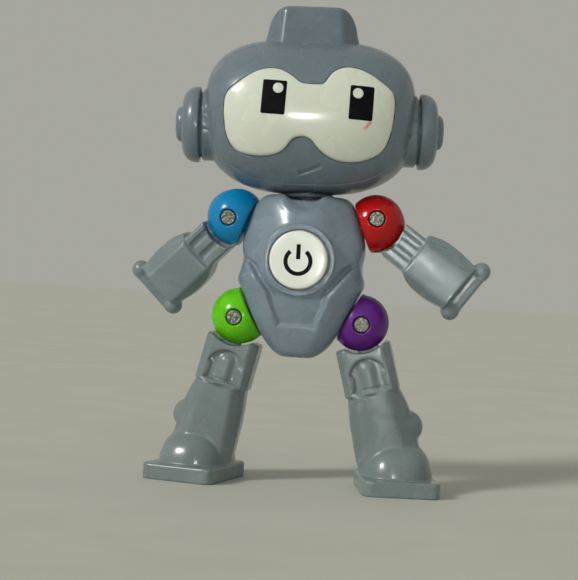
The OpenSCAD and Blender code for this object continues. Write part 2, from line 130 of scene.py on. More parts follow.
def rounded(points, x):
    """A smooth curve through a few (position, value) points."""
    p = np.array(points, float)
    p = p[np.argsort(p[:, 0])]
    slope = np.gradient(p[:, 1], p[:, 0])
    x = np.clip(x, p[0, 0], p[-1, 0])
    i = np.clip(np.searchsorted(p[:, 0], x, side="right") - 1, 0, len(p) - 2)
    h = p[i + 1, 0] - p[i, 0]
    t = (x - p[i, 0]) / h
    a = (1 + 2 * t) * (1 - t) ** 2 * p[i, 1] + t * (1 - t) ** 2 * h * slope[i]
    return a + t * t * (3 - 2 * t) * p[i + 1, 1] + t * t * (t - 1) * h * slope[i + 1]


def box_field(x, y, z, centre, half, r=0.0):
    qx = np.abs(x - centre[0]) - half[0] + r
    qy = np.abs(y - centre[1]) - half[1] + r
    qz = np.abs(z - centre[2]) - half[2] + r
    out = np.sqrt(np.maximum(qx, 0) ** 2 + np.maximum(qy, 0) ** 2 + np.maximum(qz, 0) ** 2)
    return out + np.minimum(np.maximum(qx, np.maximum(qy, qz)), 0) - r


def capsule_field(x, y, z, a, b, r):
    a, b = np.array(a, float), np.array(b, float)
    d = b - a
    t = ((x - a[0]) * d[0] + (y - a[1]) * d[1] + (z - a[2]) * d[2]) / (d @ d)
    t = np.clip(t, 0, 1)
    return np.sqrt((x - a[0] - t * d[0]) ** 2 + (y - a[1] - t * d[1]) ** 2 + (z - a[2] - t * d[2]) ** 2) - r


def disc_field(across, along, radius, low, high, r):
    """A round slab: across is the distance from its axis, and along runs from low to high."""
    qa = across - radius + r
    qh = np.abs(along - (low + high) / 2) - (high - low) / 2 + r
    return np.sqrt(np.maximum(qa, 0) ** 2 + np.maximum(qh, 0) ** 2) + np.minimum(np.maximum(qa, qh), 0) - r


def outline_field(points):
    """A function giving the signed distance, in the XZ plane, to a closed outline, inside negative."""
    pad, cell = 3.0, 0.1
    p = np.array(points, float)
    low, high = p.min(0) - pad, p.max(0) + pad
    n = np.ceil((high - low) / cell).astype(int) + 1
    px, pz = np.meshgrid(low[0] + cell * np.arange(n[0]), low[1] + cell * np.arange(n[1]), indexing="ij")
    best, inside = np.full(px.shape, 1e9), np.zeros(px.shape, bool)
    for (ax, az), (bx, bz) in zip(p, np.roll(p, -1, axis=0)):
        ex, ez = bx - ax, bz - az
        t = np.clip(((px - ax) * ex + (pz - az) * ez) / max(ex * ex + ez * ez, 1e-12), 0, 1)
        best = np.minimum(best, (px - ax - t * ex) ** 2 + (pz - az - t * ez) ** 2)
        if ez != 0:
            inside ^= ((az > pz) != (bz > pz)) & (px < ax + (pz - az) * ex / ez)
    table = np.sqrt(best) * np.where(inside, -1, 1)

    def distance(x, z):
        u = np.clip((x - low[0]) / cell, 0, n[0] - 1.001)
        v = np.clip((z - low[1]) / cell, 0, n[1] - 1.001)
        u, v = np.broadcast_arrays(u, v)
        i, j = u.astype(int), v.astype(int)
        fu, fv = u - i, v - j
        return (table[i, j] * (1 - fu) * (1 - fv) + table[i + 1, j] * fu * (1 - fv)
                + table[i, j + 1] * (1 - fu) * fv + table[i + 1, j + 1] * fu * fv)

    return distance


def line_distance(points, x, z):
    """Distance in the XZ plane to an open line through points."""
    best = 1e9
    for (ax, az), (bx, bz) in zip(points[:-1], points[1:]):
        ex, ez = bx - ax, bz - az
        t = np.clip(((x - ax) * ex + (z - az) * ez) / (ex * ex + ez * ez), 0, 1)
        best = np.minimum(best, np.hypot(x - ax - t * ex, z - az - t * ez))
    return best


def closed_curve(points, steps=6):
    """A smooth closed outline through points."""
    p = np.array(points, float)
    n = len(p)
    out = []
    for i in range(n):
        a, b, c, d = p[i - 1], p[i], p[(i + 1) % n], p[(i + 2) % n]
        for t in np.arange(steps) / steps:
            out.append(0.5 * (2 * b + (c - a) * t + (2 * a - 5 * b + 4 * c - d) * t ** 2
                              + (3 * b - a - 3 * c + d) * t ** 3))
    return np.array(out)


def surface(field, low, high, step):
    """Vertices and quads of the surface where a field is zero."""
    low, high = np.array(low, float), np.array(high, float)
    n = np.ceil((high - low) / step).astype(int) + 2
    axes = [low[k] - step / 2 + step * np.arange(n[k]) for k in range(3)]
    grid = np.meshgrid(*axes, indexing="ij", sparse=True)
    f = np.broadcast_to(field(*grid), n)
    solid = f < 0
    corners = [(i, j, k) for i in (0, 1) for j in (0, 1) for k in (0, 1)]
    cut = [slice(i, n[0] - 1 + i) for i in (0, 1)], [slice(i, n[1] - 1 + i) for i in (0, 1)], \
        [slice(i, n[2] - 1 + i) for i in (0, 1)]
    count = sum(solid[cut[0][i], cut[1][j], cut[2][k]].astype(np.int8) for i, j, k in corners)
    mixed = (count > 0) & (count < 8)
    cells = np.argwhere(mixed)
    number = np.full(mixed.shape, -1)
    number[mixed] = np.arange(len(cells))
    values = {c: f[cells[:, 0] + c[0], cells[:, 1] + c[1], cells[:, 2] + c[2]] for c in corners}
    total, hits = np.zeros((len(cells), 3)), np.zeros(len(cells))
    for c in corners:
        for axis in range(3):
            if c[axis] == 0:
                d = list(c)
                d[axis] = 1
                fa, fb = values[c], values[tuple(d)]
                crossed = (fa < 0) != (fb < 0)
                t = np.where(crossed, fa / np.where(crossed, fa - fb, 1), 0)
                point = np.tile(np.array(c, float), (len(cells), 1))
                point[:, axis] = t
                total += point * crossed[:, None]
                hits += crossed
    verts = (cells + total / hits[:, None]) * step + [a[0] for a in axes]
    for _ in range(PULLS):
        verts = onto(field, verts, step)
    quads = []
    for axis in range(3):
        u, v = (axis + 1) % 3, (axis + 2) % 3
        near = [slice(1, -1)] * 3
        near[axis] = slice(0, -1)
        far = list(near)
        far[axis] = slice(1, None)
        first, second = solid[tuple(near)], solid[tuple(far)]
        edges = np.argwhere(first != second)
        edges += [0 if k == axis else 1 for k in range(3)]
        down = solid[edges[:, 0], edges[:, 1], edges[:, 2]]
        ring = []
        for du, dv in ((0, 0), (1, 0), (1, 1), (0, 1)):
            e = edges.copy()
            e[:, u] -= du
            e[:, v] -= dv
            ring.append(number[e[:, 0], e[:, 1], e[:, 2]])
        q = np.stack(ring, 1)
        q[down] = q[down][:, ::-1]
        quads.append(q[:, ::-1])
    return verts, np.concatenate(quads)


def onto(field, verts, step):
    """Moves points to where the field is zero, by no more than a third of a cell."""
    h = 0.05                            # half of the span that the slope is taken over
    x, y, z = verts.T
    f = field(x, y, z)
    g = np.stack([(field(x + h, y, z) - field(x - h, y, z)), (field(x, y + h, z) - field(x, y - h, z)),
                  (field(x, y, z + h) - field(x, y, z - h))], 1) / (2 * h)
    move = -f[:, None] * g / np.maximum((g * g).sum(1), 0.05)[:, None]
    size = np.linalg.norm(move, axis=1)
    return verts + move * np.minimum(1, step / 3 / np.maximum(size, 1e-9))[:, None]


def mesh_object(name, verts, faces, matrix, material):
    mesh = bpy.data.meshes.new(name)
    m = np.array(matrix)
    world = np.asarray(verts, float) @ m[:3, :3].T + m[:3, 3]
    faces = [list(map(int, f)) for f in faces]
    if matrix.to_3x3().determinant() < 0:
        faces = [f[::-1] for f in faces]
    mesh.from_pydata(world.tolist(), [], faces)
    mesh.validate()
    mesh.shade_smooth()
    mesh.materials.append(material)
    piece = bpy.data.objects.new(name, mesh)
    bpy.context.scene.collection.objects.link(piece)
    return piece


def join_up(piece, body, nodes):
    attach(piece, body)
    if nodes:
        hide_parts(*nodes)


def moulded(name, field, low, high, matrix, material, body, nodes=(), fine=1.0):
    """One moulded piece: the surface of a field, riding on a body in place of CAD nodes."""
    verts, quads = surface(field, low, high, STEP * fine)
    piece = mesh_object(name, verts, quads, matrix, material)
    join_up(piece, body, nodes)
    return piece


def lathe(profile, steps=96, rough=None):
    """A solid of revolution about local X from (radius, x) points that start and end on the axis."""
    p = np.array(profile, float)
    angles = 2 * math.pi * np.arange(steps) / steps
    verts, faces = [(p[0][1], 0, 0)], []
    for k, (r, h) in enumerate(p[1:-1]):
        for i, a in enumerate(angles):
            y, z = r * math.cos(a), r * math.sin(a)
            verts.append((h + (rough(y, z, k) if rough else 0), y, z))
    verts.append((p[-1][1], 0, 0))
    rings = len(p) - 2
    for i in range(steps):
        j = (i + 1) % steps
        faces.append((0, 1 + j, 1 + i))
        for k in range(rings - 1):
            a, b = 1 + k * steps, 1 + (k + 1) * steps
            faces.append((a + i, a + j, b + j, b + i))
        last = 1 + (rings - 1) * steps
        faces.append((last + i, last + j, len(verts) - 1))
    return np.array(verts), faces


def arc(centre, radius, start, end, steps=8):
    """(radius, height) points on an arc, with its centre as (radius, height) and angles in degrees."""
    return [(centre[0] + radius * math.cos(math.radians(a)), centre[1] + radius * math.sin(math.radians(a)))
            for a in np.linspace(start, end, steps)]


def refined(points, gap):
    """A closed outline with points added so that none are further apart than a gap."""
    out = []
    for a, b in zip(points, list(points[1:]) + [points[0]]):
        n = max(1, int(math.ceil(math.dist(a, b) / gap)))
        out += [(a[0] + (b[0] - a[0]) * k / n, a[1] + (b[1] - a[1]) * k / n) for k in range(n)]
    return np.array(out)


def printed(name, outline, surface_y, matrix, material, body, lift=PRINT_LIFT):
    """A thin layer of print on a surface: outline in X and Z, and surface_y gives the surface's Y there."""
    gap, rings = 0.25, 9
    p = refined(outline, gap)
    centre = p.mean(0)
    n = len(p)
    verts, faces = [], []
    for side in (1, -1):
        first = len(verts)
        verts.append((centre[0], surface_y(*centre) - (lift if side > 0 else -PRINT_SUNK), centre[1]))
        for k in range(1, rings + 1):
            share = k / rings
            drop = PRINT_EDGE * max(0, k - rings + 1) if side > 0 else 0
            for q in centre + (p - centre) * share:
                verts.append((q[0], surface_y(q[0], q[1]) - (lift - drop if side > 0 else -PRINT_SUNK), q[1]))
        for i in range(n):
            j = (i + 1) % n
            tri = (first, first + 1 + i, first + 1 + j)
            faces.append(tri if side > 0 else tri[::-1])
            for k in range(rings - 1):
                a, b = first + 1 + k * n, first + 1 + (k + 1) * n
                quad = (a + i, b + i, b + j, a + j)
                faces.append(quad if side > 0 else quad[::-1])
    front, back = 1 + (rings - 1) * n, 2 + (2 * rings - 1) * n
    for i in range(n):
        j = (i + 1) % n
        faces.append((front + i, back + i, back + j, front + j))
    area = np.sum(p[:, 0] * np.roll(p[:, 1], -1) - np.roll(p[:, 0], -1) * p[:, 1])
    if area < 0:
        faces = [f[::-1] for f in faces]
    piece = mesh_object(name, verts, faces, matrix, material)
    join_up(piece, body, ())
    return piece


# ---------- materials ----------


def material(name, colour, rough=0.3, metal=0.0, coat=0.0, milky=0.0, cloud=0.08, cloud_size=0.006,
             rough_range=0.08, bump=0.02, bump_size=0.0008, fleck=0.0, fleck_colour=(1, 1, 1), spot=None,
             shine=0.5):
    """A moulded, painted or metal finish with cloudy colour, uneven gloss, fine bump and a few flecks."""
    m = bpy.data.materials.new(name)
    m.use_nodes = True
    tree = m.node_tree
    nodes, links = tree.nodes, tree.links
    shader = nodes["Principled BSDF"]
    shader.inputs["Metallic"].default_value = metal
    shader.inputs["Coat Weight"].default_value = coat
    shader.inputs["Specular IOR Level"].default_value = shine
    shader.inputs["Coat Roughness"].default_value = 0.12
    shader.inputs["Subsurface Weight"].default_value = milky
    shader.inputs["Subsurface Scale"].default_value = 0.0012
    place = nodes.new("ShaderNodeTexCoord")

    def noise(size, detail, distortion=0.0):
        n = nodes.new("ShaderNodeTexNoise")
        n.inputs["Scale"].default_value = 1 / size
        n.inputs["Detail"].default_value = detail
        n.inputs["Distortion"].default_value = distortion
        links.new(place.outputs["Object"], n.inputs["Vector"])
        return n.outputs["Fac"]

    def spread(source, low, high, out_low, out_high):
        r = nodes.new("ShaderNodeMapRange")
        for socket, value in (("From Min", low), ("From Max", high), ("To Min", out_low), ("To Max", out_high)):
            r.inputs[socket].default_value = value
        links.new(source, r.inputs["Value"])
        return r.outputs["Result"]

    def mixed(factor, a, b):
        mix = nodes.new("ShaderNodeMix")
        mix.data_type = "RGBA"
        links.new(factor, mix.inputs[0])
        for socket, value in ((mix.inputs[6], a), (mix.inputs[7], b)):
            if isinstance(value, tuple):
                socket.default_value = (*value, 1)
            else:
                links.new(value, socket)
        return mix.outputs[2]

    dark = tuple(c * (1 - cloud) for c in colour)
    light = tuple(min(1, c * (1 + cloud)) for c in colour)
    swirl = noise(cloud_size, 5, 1.4)
    shade = mixed(spread(swirl, 0.35, 0.65, 0, 1), dark, light)
    if fleck:
        shade = mixed(spread(noise(0.0009, 2), 0.72, 0.76, 0, fleck), shade, fleck_colour)
    if spot:
        centre, slant, size, spot_colour = spot
        move = nodes.new("ShaderNodeMapping")
        move.vector_type = "TEXTURE"
        move.inputs["Location"].default_value = centre
        move.inputs["Rotation"].default_value = (0, math.radians(slant), 0)
        move.inputs["Scale"].default_value = size
        links.new(place.outputs["Object"], move.inputs["Vector"])
        length = nodes.new("ShaderNodeVectorMath")
        length.operation = "LENGTH"
        links.new(move.outputs["Vector"], length.inputs[0])
        ragged = nodes.new("ShaderNodeMath")
        ragged.operation = "ADD"
        links.new(length.outputs["Value"], ragged.inputs[0])
        links.new(spread(noise(0.0006, 4), 0.2, 0.8, -0.6, 0.6), ragged.inputs[1])
        shade = mixed(spread(ragged.outputs[0], 0.5, 1.1, 0.8, 0), shade, spot_colour)
    links.new(shade, shader.inputs["Base Color"])
    links.new(spread(noise(cloud_size * 0.6, 6, 0.6), 0.3, 0.7, rough - rough_range, rough + rough_range),
              shader.inputs["Roughness"])
    raised = nodes.new("ShaderNodeBump")
    raised.inputs["Strength"].default_value = bump
    raised.inputs["Distance"].default_value = 0.0002
    links.new(noise(bump_size, 3), raised.inputs["Height"])
    links.new(raised.outputs["Normal"], shader.inputs["Normal"])
    return m


SHELL = dict(rough=0.27, coat=0.25, milky=0.12, cloud=0.07, cloud_size=0.009, bump=0.05, bump_size=0.0012,
             fleck=0.18, fleck_colour=(0.42, 0.46, 0.5))
BALL = dict(rough=0.24, coat=0.15, shine=0.3, milky=0.06, bump=0.04)
BALL_COLOURS = {"blue": (0.0, 0.2, 0.44), "red": (0.37, 0.002, 0.002), "green": (0.1, 0.48, 0.001),
                "purple": (0.1, 0.01, 0.2)}
SCUFF_AT = HEAD_CENTRE + 11.2 * HEAD_X - 15.25 * HEAD_Y - 2.95 * HEAD_UP
SCUFF = (tuple(SCUFF_AT * MM), 38, (0.00036, 0.004, 0.00115), (0.62, 0.2, 0.2))
MAT = {
    "head": material("shell_head", (0.135, 0.178, 0.212), **SHELL),
    "torso": material("shell_torso", (0.165, 0.216, 0.262), **SHELL),
    "arm": material("shell_arm", (0.165, 0.212, 0.225), **SHELL),
    "leg": material("shell_leg", (0.155, 0.195, 0.2), **SHELL),
    # painted shade: a near-black finish that stands for the shade under the head, used on the neck post
    "inside": material("shell_painted_shade", (0.05, 0.06, 0.07), rough=0.5),
    "visor": material("visor_gloss", (0.63, 0.665, 0.58), rough=0.24, coat=0.3, milky=0.15, cloud=0.03,
                      cloud_size=0.014, bump=0.05, bump_size=0.0013, spot=SCUFF),
    "print": material("print_black", (0.003, 0.003, 0.0035), rough=0.5, cloud=0.5, cloud_size=0.0008,
                      rough_range=0.15, bump=0.25, bump_size=0.0003, fleck=0.35,
                      fleck_colour=(0.05, 0.05, 0.05), shine=0.08),
    "dot": material("print_white", (0.66, 0.7, 0.61), rough=0.35, bump=0.1, bump_size=0.0003),
    "button": material("button_gloss", (0.7, 0.73, 0.68), rough=0.2, coat=0.4, milky=0.1, cloud=0.03,
                       cloud_size=0.007, bump=0.03),
    "pin": material("pin_steel", (0.2, 0.205, 0.18), rough=0.42, metal=1.0, cloud=0.35, cloud_size=0.0005,
                    rough_range=0.2, bump=0.9, bump_size=0.00035),
    "screw": material("screw_steel", (0.5, 0.5, 0.5), rough=0.35, metal=1.0, cloud=0.15, cloud_size=0.001,
                      bump=0.2, bump_size=0.0004),
    "cell": material("cell_steel", (0.62, 0.61, 0.58), rough=0.22, metal=1.0, cloud=0.08, cloud_size=0.002,
                     bump=0.08, bump_size=0.0005),
    "brass": material("contact_brass", (0.62, 0.42, 0.14), rough=0.32, metal=1.0, cloud=0.15, cloud_size=0.001,
                      bump=0.1, bump_size=0.0004),
    "board": material("board_green", (0.012, 0.12, 0.04), rough=0.38, cloud=0.25, cloud_size=0.002, bump=0.2,
                      bump_size=0.0006),
    "black": material("black_plastic", (0.02, 0.02, 0.022), rough=0.45, cloud=0.3, cloud_size=0.001, bump=0.3,
                      bump_size=0.0004),
    **{name: material("ball_" + name, colour, **BALL) for name, colour in BALL_COLOURS.items()},
}
# the neck post takes the near-black painted-shade finish
CAD_FINISH = {"torso_screws": "screw", "battery_door_screw": "screw", "head_screws": "screw",
              "button_cells": "cell", "battery_contacts": "brass", "circuit_board": "board",
              "tact_switch": "black", "speaker": "black", "switch_plunger": "black", "neck_post": "inside"}
for node, finish in CAD_FINISH.items():
    mesh = frame["nodes"][node].data
    mesh.materials.clear()
    mesh.materials.append(MAT[finish])

# ---------- head ----------

HEAD_A, HEAD_R = 21.8, 15.9             # half width, and radius about the ear axis
PARTING = 7.0                           # the two head shells meet this far in front of the ear axis
WALL = 1.6
EAR_R, EAR_SEAT = 7.8, 19.6
EAR_BOSS, BOSS_OUT = EAR_R - 0.45, 21.95
VISOR_PROUD, VISOR_DEEP, VISOR_GAP = 0.35, 0.45, 0.1
VISOR_BACK = -4.0                       # the visor and its recess end at this Y
MOUTH_DEEP, MOUTH_HALF, LIP_HIGH = 0.42, 0.3, 0.4
POST_R, SCREW_HEAD_R, SCREW_R = 2.8, 2.0, 1.1
HEAD_SCREWS = ((-11, -8), (11, -8), (0, 8.4))
VISOR = closed_curve([
    (-17.13, 1.4), (-17.2, -0.55), (-17.02, -2.5), (-16.77, -4.4), (-16.1, -6.3), (-14.5, -8.25),
    (-12.65, -8.9), (-10.05, -9.27), (-7.65, -9.1), (-5.7, -8.45), (-4.55, -7.45), (-3.75, -6.4),
    (-3.0, -5.8), (-1.85, -5.5), (-0.65, -5.6), (0.35, -6.15), (1.35, -7.2), (2.2, -8.05), (3.4, -8.9),
    (5.0, -9.6), (6.6, -9.9), (8.2, -9.95), (10.2, -9.72), (12.15, -9.1), (13.7, -8.2), (14.7, -7.25),
    (15.4, -5.95), (15.9, -4.5), (16.25, -3.0), (16.5, -1.0), (16.65, 0.9), (16.6, 2.5), (16.15, 4.0),
    (15.1, 5.05), (13.5, 6.15), (11.85, 7.3), (9.9, 8.2), (8.1, 8.62), (6.5, 8.58), (5.15, 8.08),
    (4.0, 7.2), (3.35, 6.3), (2.87, 5.5), (2.28, 4.97), (1.5, 4.8), (-0.3, 4.83), (-1.8, 4.98),
    (-2.65, 5.45), (-3.45, 6.15), (-4.65, 7.0), (-6.05, 7.67), (-7.6, 7.93), (-9.2, 7.83), (-10.8, 7.35),
    (-12.3, 6.5), (-13.85, 5.45), (-15.4, 4.35), (-16.4, 3.35), (-16.9, 2.4)], 3)
visor_edge = outline_field(VISOR)
CREST_WIDTH = [(12, 9.7), (15.2, 9.6), (16.7, 9.2), (18.3, 8.9), (20, 8.2), (21.6, 7.0), (22.6, 6.1)]
MOUTH = [(-1.9, -12.2), (-0.8, -11.95), (0.3, -11.62), (1.3, -11.2), (2.3, -10.75)]


def head_power(z):
    """The head is boxier above than below."""
    return 2.65 + 0.4 * step_up((z + 4) / 12)


def head_form(x, y, z, grow=0.0):
    rho = np.hypot(y, z)
    power = head_power(z)
    g = ((np.abs(x) / (HEAD_A + grow)) ** power + (rho / (HEAD_R + grow)) ** power) ** (1 / power)
    return (g - 1) / np.maximum(g, 0.05) * np.hypot(x, rho)


def head_shell(x, y, z):
    f = head_form(x, y, z)
    front = step_up((-y - 3) / 3)
    mouth = line_distance(MOUTH, x, z)
    f = f + front * MOUTH_DEEP * np.exp(-(mouth / MOUTH_HALF) ** 2) * step_up((2.9 - np.abs(x - 0.3)) / 1.2)
    f = f - front * LIP_HIGH * hill(x, z - 0.3 * x, 0.1, -12.45, 1.8, 0.62)
    recess = blend_max(visor_edge(x, z) - VISOR_GAP, -(f + VISOR_DEEP + 0.05), 0.15)
    recess = np.maximum(recess, y - VISOR_BACK)
    f = blend_max(f, -recess, 0.12)
    from_ear = np.hypot(y, z + EAR_DROP)
    f = blend_min(f, disc_field(from_ear, np.abs(x), EAR_BOSS, 15, BOSS_OUT, 0.25), 0.35)
    f = np.maximum(f, -(head_form(x, y, z) + WALL))
    ear = disc_field(from_ear, np.abs(x), EAR_BOSS - 0.6, EAR_SEAT, THROUGH, 0.1)
    return blend_max(f, -ear, 0.25)


def head_front(x, y, z):
    return blend_max(head_shell(x, y, z), y + PARTING + SEAM, 0.3)


def head_rear(x, y, z):
    f = blend_max(head_shell(x, y, z), -y - PARTING + SEAM, 0.3)
    for sx, sz in HEAD_SCREWS:
        across = np.hypot(x - sx, z - sz)
        post = np.maximum(np.maximum(across - POST_R, head_form(x, y, z)), 2 - y)
        f = np.minimum(f, post)
        f = blend_max(f, -disc_field(across, y, SCREW_HEAD_R, 3, THROUGH, 0.1), 0.25)
        f = np.maximum(f, -disc_field(across, y, SCREW_R, 0, THROUGH, 0.1))
    return f


def visor_form(x, y, z):
    f = blend_max(head_form(x, y, z, VISOR_PROUD), visor_edge(x, z), 0.55)
    return np.maximum(np.maximum(f, -head_form(x, y, z, -VISOR_DEEP)), y - VISOR_BACK)


def visor_y(x, z, grow=VISOR_PROUD):
    """The front surface of the visor."""
    power = float(head_power(z))
    rho = (HEAD_R + grow) * max(1 - (abs(x) / (HEAD_A + grow)) ** power, 0) ** (1 / power)
    return -math.sqrt(max(rho * rho - z * z, 0))


def crest_form(x, y, z):
    half = rounded(CREST_WIDTH, z)
    flat = 6.15 - 0.09 * (z - 15)
    depth = 6.8 - 0.07 * (z - 15)
    f = blend_max(np.abs(x) - half, np.abs(y) - depth, 0.5)
    slope = (np.abs(y) - depth) * 0.72 + (np.abs(x) - flat) * 0.69
    f = blend_max(f, slope, 0.55)
    f = blend_max(f, z - CREST_TOP, 1.5)
    return np.maximum(f, -head_form(x, y, z) - 0.3)


moulded("head_front", head_front, (-22, -16.2, -16.2), (22, -PARTING, 16.2), HEAD_FRAME, MAT["head"], "head",
        ["head_front_shell"])
moulded("head_rear", head_rear, (-22, -PARTING, -16.2), (22, 16.2, 16.2), HEAD_FRAME, MAT["head"], "head",
        ["head_rear_shell"], 1.42)
moulded("visor", visor_form, (-17.6, -16.6, -10.4), (17.1, -6, 9.1), HEAD_FRAME, MAT["visor"], "head",
        ["visor_panel"], 0.9)
moulded("crest", crest_form, (-10, -7.4, 11), (10, 7.4, CREST_TOP + 0.3), HEAD_FRAME, MAT["head"], "head",
        ["crest_block"])

EAR_PROFILE = ([(0, EAR_SEAT + 0.1), (6.4, EAR_SEAT + 0.1), (6.6, EAR_SEAT + 0.3), (6.6, 22.1)]
               + arc((6.9, 22.1), 0.3, 180, 100, 4) + arc((7.35, 22.95), 0.45, -80, 0, 5)
               + arc((4.9, 23.2), 2.9, 5, 84, 14)
               + [(4.85, 26.1), (4.62, 26.08)] + arc((4.2, 26.06), 0.32, -10, -170, 7)
               + [(3.78, 26.12), (3.72, 26.4)] + arc((2.3, 26.15), 1.4, 12, 80, 8)
               + [(1.7, 27.5), (0.9, 27.54), (0, 27.55)])
for side, word in ((-1, "right"), (1, "left")):
    verts, faces = lathe(EAR_PROFILE, 128)
    ear_frame = placed(HEAD_CENTRE - EAR_DROP * HEAD_UP, HEAD_X * side, HEAD_Y, HEAD_UP)
    piece = mesh_object("ear_" + word, verts, faces, ear_frame, MAT["head"])
    join_up(piece, "head", ["ear_pod_" + word])


def rounded_box_outline(centre, half, r, tilt, steps=6):
    points = []
    for quarter in range(4):
        cx = (half[0] - r) * (1 if quarter in (0, 3) else -1)
        cz = (half[1] - r) * (1 if quarter in (0, 1) else -1)
        for a in np.linspace(0, 90, steps):
            t = math.radians(a + 90 * quarter)
            points.append((cx + r * math.cos(t), cz + r * math.sin(t)))
    t = math.radians(tilt)
    return [(centre[0] + x * math.cos(t) - z * math.sin(t), centre[1] + x * math.sin(t) + z * math.cos(t))
            for x, z in points]


def circle_outline(centre, r, steps=40):
    turns = [2 * math.pi * i / steps for i in range(steps)]
    return [(centre[0] + r * math.cos(t), centre[1] + r * math.sin(t)) for t in turns]


EYE_HALF, EYE_CORNER, EYE_DOT_R = (2.37, 3.38), 0.32, 1.03
EYES = (("right", (-7.28, 1.98), -3.4, (-6.48, 3.76)), ("left", (9.91, 1.38), -2.4, (9.19, 3.24)))
for word, centre, tilt, dot in EYES:
    printed("eye_" + word, rounded_box_outline(centre, EYE_HALF, EYE_CORNER, tilt), visor_y, HEAD_FRAME,
            MAT["print"], "head")
    printed("eye_dot_" + word, circle_outline(dot, EYE_DOT_R), visor_y, HEAD_FRAME, MAT["dot"], "head",
            lift=2 * PRINT_LIFT)

# ---------- torso ----------

TORSO_LOW, COLLAR_Z = 26.7, 59.3
TORSO_WIDTH = [(26.7, 4.6), (28.3, 6), (30.3, 7.5), (34.3, 10), (38.4, 11.5), (41.6, 12.9), (44.2, 12.3),
               (48.8, 12.7), (53, 12), (56, 11), (58.3, 9.6), (59.3, 8.6)]
TORSO_DEPTH = [(24, 3.6), (28, 5.9), (31, 7.3), (35, 8.8), (40, 9.7), (46, 9.9), (51, 9.6), (55, 8.6),
               (58.3, 7.1), (61, 5.4)]
BAND_EDGE = [(30, 3.0), (32.9, 3.3), (36.5, 4.6), (39.3, 5.7), (41, 7.1), (44.7, 9.8), (46.5, 11.6)]
TORSO_POWER = 2.4                       # how square a level section is
CHEST_FACET, CHEST_FACET_AT = (0.50, -0.85, 0.16), (3.0, -9.45, 51.8)
SCOOP_Z, SCOOP_HALF = 59.6, (3.9, 3.6)  # the hollow under the chin
SCOOP_DEEP, SCOOP_LIP = 1.0, 0.12
RIM_R, RIM_HIGH = 8.3, 0.36             # the raised rim round the button
BAND_HIGH, MIDDLE_DEEP, TRENCH_DEEP = 0.5, 0.75, 0.95
NECK_BORE, NECK_LOW = 3.06, 50.0        # radius of the bore for the neck post, and its lower end
BUTTON_R, BUTTON_FLANGE = 5.9, 0.95
CUP_R, FACE_GAP = 6.4, 0.15
CUTS = {"shoulder": 3.0, "hip": 2.6}    # from a ball's centre to the flat that faces the torso
TORSO_SCREWS = ((-8.6, 42.9), (8.6, 42.9), (0, 30.1))
TORSO_POST_R, SEAT_R = 2.5, 1.8         # the screws' posts, and the seats of their heads
DOOR_Z, DOOR_HALF, DOOR_GAP = 39.2, (7.0, 6.2), 0.12
DOOR_SCREW_Z = 34.6
RIB_TOP, RIB_PITCH, RIB_HIGH = 42.9, 1.1, 0.22
GRILLE_Z, GRILLE_R, GRILLE_HOLE = 49.5, 2.2, 0.6
PEG_R, PEG_LEN = 2.25, 2.0              # the peg on each ball that turns in a bore of the torso


class Limb:
    """The frames of one arm or leg, from its two joints; angle is how far it hangs out from straight down."""

    def __init__(self, kind, word, angle):
        self.kind, self.word, self.angle = kind, word, angle
        side = 1 if word == "left" else -1
        swivel, hinge = f"{kind}_swivel_{word}", f"{kind}_hinge_{word}"
        self.ball_at, self.pin_at = joint_at(swivel), joint_at(hinge)
        self.out = joint_axis(swivel) * -side
        pin_axis = joint_axis(hinge) * -side
        up = np.cross(self.out, pin_axis) * side
        self.ball_frame = placed(self.ball_at, self.out, pin_axis, up)
        self.pin_frame = placed(self.pin_at, pin_axis, up, self.out)
        tilt = math.degrees(math.atan2(self.out[2], abs(self.out[0])))
        t = math.radians(tilt - angle)
        x_axis = math.cos(t) * self.out - math.sin(t) * up
        z_axis = math.sin(t) * self.out + math.cos(t) * up
        self.frame = placed(self.pin_at, x_axis, pin_axis, z_axis)
        self.pin_offset = float((self.pin_at - self.ball_at) @ self.out)
        swing = next(j["range_deg"] for j in frame["record"]["behaviour"]["joints"] if j["name"] == hinge)
        turns = [math.radians(tilt - angle - h) for h in np.linspace(*swing, 7)]
        self.ball_seen = [(-self.pin_offset * math.cos(a), -self.pin_offset * math.sin(a)) for a in turns]


LIMBS = [Limb("shoulder", "right", 45), Limb("shoulder", "left", 54.5), Limb("hip", "right", 13),
         Limb("hip", "left", 15.5)]


def torso_base(x, y, z, grow=0.0):
    w = rounded(TORSO_WIDTH, z) + grow
    d = rounded(TORSO_DEPTH, z) + grow
    g = ((np.abs(x) / w) ** TORSO_POWER + (np.abs(y) / d) ** TORSO_POWER) ** (1 / TORSO_POWER)
    f = (g - 1) / np.maximum(g, 0.05) * np.hypot(x, y)
    f = blend_max(f, TORSO_LOW - grow - z, 1.6)
    return blend_max(f, z - COLLAR_Z - grow, 1.1)


def sockets(x, y, z):
    """The space that the four balls need, outside negative becomes inside the cut."""
    best = np.float64(1e9)
    for limb in LIMBS:
        c, o = limb.ball_at - np.array([MID_X, 0, 0]), limb.out
        px, py, pz = x - c[0], y - c[1], z - c[2]
        along = px * o[0] + py * o[1] + pz * o[2]
        across = np.sqrt(np.maximum(px * px + py * py + pz * pz - along * along, 1e-9))
        face = -CUTS[limb.kind] - along
        bore = np.maximum(across - PEG_R - 0.12, face - PEG_LEN - 0.2)
        best = np.minimum(best, np.minimum(blend_max(across - CUP_R, face - FACE_GAP, 0.2), bore))
    return best


